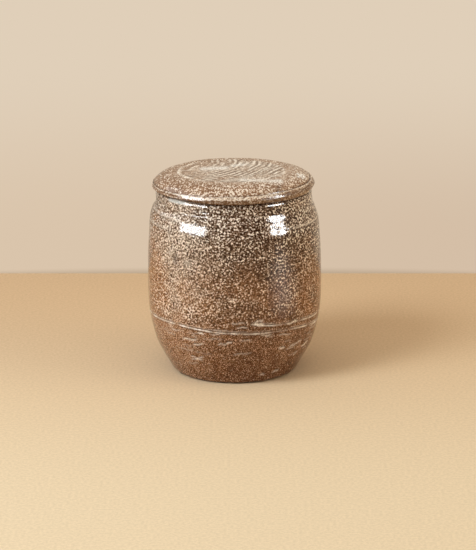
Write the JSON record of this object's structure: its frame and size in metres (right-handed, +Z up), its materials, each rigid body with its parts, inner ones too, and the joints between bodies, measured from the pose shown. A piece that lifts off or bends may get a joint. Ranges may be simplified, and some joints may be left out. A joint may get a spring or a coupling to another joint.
{
  "type": "onggi jar",
  "caption": "Lidded stoneware storage jar with a swelling belly, soft shoulder and short neck, and a low domed lid with a flat cut top and a ring that drops into the mouth.",
  "frame": {"origin": "centre of the foot, on the surface that the jar stands on", "axes": "+Z up along the axis that the jar and its lid are turned on; +X and +Y are free, with the picture taken from the -Y side"},
  "size_m": [0.18, 0.18, 0.2078],
  "materials": {
    "jar_glaze": "glossy brown glaze with fine cream mottling, foot and rim seat bare",
    "lid_glaze": "satin tan-brown glaze with fine cream mottling, seat bare"
  },
  "bodies": {
    "jar": {"jar_body": "jar_glaze"},
    "lid": {"lid": "lid_glaze"}
  },
  "joints": [
    {"name": "lid_lift", "type": "slide", "parent": "jar", "child": "lid", "axis": [0, 0, 1], "range_m": [0, 0.12]}
  ]
}
